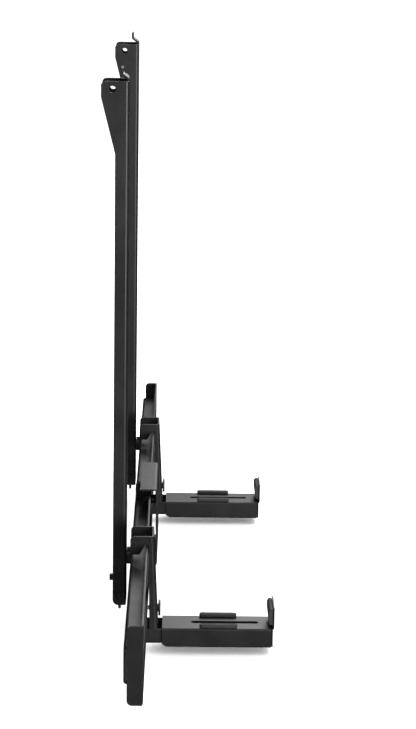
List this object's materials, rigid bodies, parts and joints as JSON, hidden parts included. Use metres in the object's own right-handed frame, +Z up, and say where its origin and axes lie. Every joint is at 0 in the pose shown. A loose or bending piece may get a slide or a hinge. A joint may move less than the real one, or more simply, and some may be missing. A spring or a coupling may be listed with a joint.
{
  "type": "tv wall mount rails with soundbar shelves",
  "caption": "Pair of television hook rails with a crossbar below that carries hook-on hangers and extending soundbar shelves.",
  "frame": {"origin": "on the axis of the rails' hook holes, midway between the two rails", "axes": "+X from the wall towards the viewer, +Y along the crossbar, +Z up"},
  "size_m": [0.1832, 0.838, 0.5896],
  "materials": {
    "black_powder_coat": "satin black powder coat, fine grain",
    "black_zinc": "black zinc",
    "black_plastic": "moulded, fine matte",
    "black_rubber": "matte",
    "spring_steel": "drawn wire"
  },
  "bodies": {
    "crossbar": {"near_half_bar": "black_powder_coat", "far_half_bar": "black_powder_coat", "near_end_cap": "black_plastic", "far_end_cap": "black_plastic", "near_joint_plate": "black_powder_coat", "far_joint_plate": "black_powder_coat", "joint_bolt_1": "black_zinc", "joint_bolt_2": "black_zinc", "joint_nut_1": "black_zinc", "joint_nut_2": "black_zinc", "joint_saddle": "black_powder_coat", "saddle_screw_1": "black_zinc", "saddle_screw_2": "black_zinc", "saddle_spacer_1": "black_zinc", "saddle_spacer_2": "black_zinc", "saddle_nut_1": "black_zinc", "saddle_nut_2": "black_zinc"},
    "near_rail": {"near_rail": "black_powder_coat", "near_rail_bolt_1": "black_zinc", "near_rail_bolt_2": "black_zinc", "near_rail_spacer_1": "black_plastic", "near_rail_spacer_2": "black_plastic", "near_rail_nut_1": "black_zinc", "near_rail_nut_2": "black_zinc", "near_latch_pin": "black_zinc", "near_latch_spring": "spring_steel"},
    "near_latch": {"near_latch": "black_zinc"},
    "near_hanger": {"near_hanger": "black_powder_coat", "near_clamp_screw": "black_zinc", "near_clamp_nut": "black_zinc", "near_arm_glide": "black_plastic"},
    "near_shelf": {"near_shelf": "black_powder_coat", "near_lip_pad": "black_rubber", "near_shelf_pad_1": "black_rubber", "near_shelf_pad_2": "black_rubber", "near_shelf_plug": "black_plastic", "near_lock_screw": "black_zinc", "near_lock_nut": "black_zinc"},
    "far_rail": {"far_rail": "black_powder_coat", "far_rail_bolt_1": "black_zinc", "far_rail_bolt_2": "black_zinc", "far_rail_spacer_1": "black_plastic", "far_rail_spacer_2": "black_plastic", "far_rail_nut_1": "black_zinc", "far_rail_nut_2": "black_zinc", "far_latch_pin": "black_zinc", "far_latch_spring": "spring_steel"},
    "far_latch": {"far_latch": "black_zinc"},
    "far_hanger": {"far_hanger": "black_powder_coat", "far_clamp_screw": "black_zinc", "far_clamp_nut": "black_zinc", "far_arm_glide": "black_plastic"},
    "far_shelf": {"far_shelf": "black_powder_coat", "far_lip_pad": "black_rubber", "far_shelf_pad_1": "black_rubber", "far_shelf_pad_2": "black_rubber", "far_shelf_plug": "black_plastic", "far_lock_screw": "black_zinc", "far_lock_nut": "black_zinc"}
  },
  "joints": [
    {"name": "near_rail_slide", "type": "slide", "parent": "crossbar", "child": "near_rail", "axis": [0, 1, 0], "range_m": [-0.203, 0.066]},
    {"name": "near_latch_pivot", "type": "hinge", "parent": "near_rail", "child": "near_latch", "pos_m": [0.009, -0.2, -0.536], "axis": [0, 1, 0], "range_deg": [0, 16], "stiffness_Nm_per_rad": 0.05, "springref_deg": -17.19},
    {"name": "far_rail_slide", "type": "slide", "parent": "crossbar", "child": "far_rail", "axis": [0, 1, 0], "range_m": [-0.206, 0.063]},
    {"name": "far_latch_pivot", "type": "hinge", "parent": "far_rail", "child": "far_latch", "pos_m": [0.009, 0.2, -0.536], "axis": [0, 1, 0], "range_deg": [0, 16], "stiffness_Nm_per_rad": 0.05, "springref_deg": -17.19},
    {"name": "near_hanger_slide", "type": "slide", "parent": "crossbar", "child": "near_hanger", "axis": [0, 1, 0], "range_m": [-0.209, 0.1225]},
    {"name": "near_shelf_slide", "type": "slide", "parent": "near_hanger", "child": "near_shelf", "axis": [1, 0, 0], "range_m": [0, 0.087]},
    {"name": "far_hanger_slide", "type": "slide", "parent": "crossbar", "child": "far_hanger", "axis": [0, 1, 0], "range_m": [-0.1415, 0.19]},
    {"name": "far_shelf_slide", "type": "slide", "parent": "far_hanger", "child": "far_shelf", "axis": [1, 0, 0], "range_m": [0, 0.087]}
  ]
}
